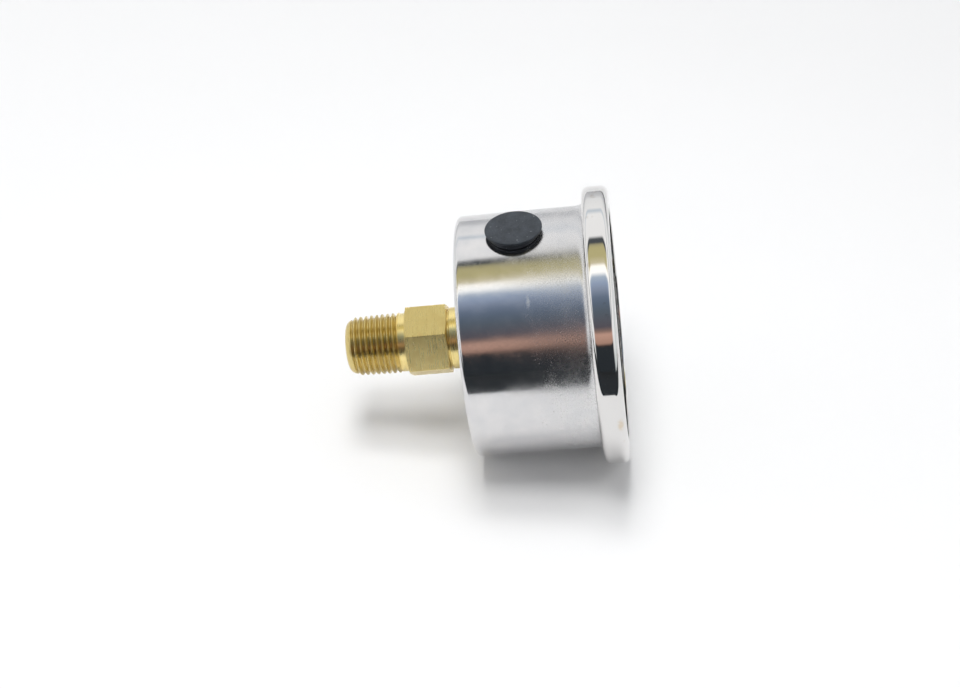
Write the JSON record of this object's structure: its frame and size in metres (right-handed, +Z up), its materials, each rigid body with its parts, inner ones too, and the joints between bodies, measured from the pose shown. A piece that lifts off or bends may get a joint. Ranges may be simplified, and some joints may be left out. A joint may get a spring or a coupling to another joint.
{
  "type": "pressure gauge",
  "caption": "Small round stainless-steel Bourdon-tube pressure gauge with a centre back brass pipe connection, a crimped bezel, a clear window and a rubber fill plug.",
  "frame": {"origin": "centre of the end face of the pipe thread, on the gauge's axis", "axes": "+Y points out of the pipe connection along the gauge's axis, the dial faces -Y, and +Z is up when the dial reads upright, through the fill plug"},
  "size_m": [0.0472, 0.0467, 0.0472],
  "materials": {
    "case_steel": "satin drawn stainless steel, fine marks round the wall",
    "bezel_steel": "mirror-polished stainless steel",
    "brass": "machined, unplated",
    "bronze": "drawn phosphor bronze",
    "plain_steel": "turned steel",
    "rubber": "matt moulded rubber",
    "window_plastic": "clear polycarbonate",
    "dial_paint": "matt white paint on aluminium",
    "pointer_paint": "matt black paint on aluminium"
  },
  "bodies": {
    "housing": {"case_shell": "case_steel", "bezel_ring": "bezel_steel", "window_lens": "window_plastic", "window_gasket": "rubber", "socket": "brass", "restrictor_screw": "brass", "socket_seal": "rubber", "lock_washer": "plain_steel", "lock_nut": "brass", "tube_block": "brass", "back_plate": "brass", "front_plate": "brass", "pillar_1": "brass", "pillar_2": "brass", "plate_screw_1": "plain_steel", "plate_screw_2": "plain_steel", "movement_screw_1": "plain_steel", "movement_screw_2": "plain_steel", "dial_post_1": "brass", "dial_post_2": "brass", "dial_plate": "dial_paint", "dial_screw_1": "plain_steel", "dial_screw_2": "plain_steel", "stop_pin": "plain_steel", "hairspring_stud": "brass", "hairspring": "bronze"},
    "pointer": {"pointer": "pointer_paint", "pointer_hub": "brass", "centre_pinion": "brass", "hairspring_collet": "brass"},
    "sector": {"sector_gear": "brass", "sector_arbor": "plain_steel", "tail_pin": "plain_steel"},
    "link": {"link": "brass"},
    "tube": {"bourdon_tube": "bronze", "tube_tip": "brass", "tip_pin": "plain_steel"},
    "plug": {"fill_plug": "rubber"}
  },
  "joints": [
    {"name": "pointer_turn", "type": "hinge", "parent": "housing", "child": "pointer", "pos_m": [0, -0.0424, 0], "axis": [0, 1, 0], "range_deg": [0, 270], "stiffness_Nm_per_rad": 0.000005, "springref_deg": -68.75},
    {"name": "sector_swing", "type": "hinge", "parent": "housing", "child": "sector", "pos_m": [0.00663, -0.03435, -0.00447], "axis": [0, 1, 0], "range_deg": [-30, 0]},
    {"name": "link_swing", "type": "hinge", "parent": "sector", "child": "link", "pos_m": [0.01001, -0.0351, -0.00357], "axis": [0, 1, 0], "range_deg": [0, 31.6]},
    {"name": "tube_flex", "type": "hinge", "parent": "housing", "child": "tube", "pos_m": [0, -0.0282, -0.014], "axis": [0, 1, 0], "range_deg": [-8.1, 0]},
    {"name": "plug_pull", "type": "slide", "parent": "housing", "child": "plug", "axis": [0, 0, 1], "range_m": [0, 0.008]}
  ],
  "couplings": [
    {"joint": "sector_swing", "follows": "pointer_turn", "ratio": -0.11111},
    {"joint": "link_swing", "follows": "pointer_turn", "ratio": 0.117},
    {"joint": "tube_flex", "follows": "pointer_turn", "ratio": -0.03}
  ]
}
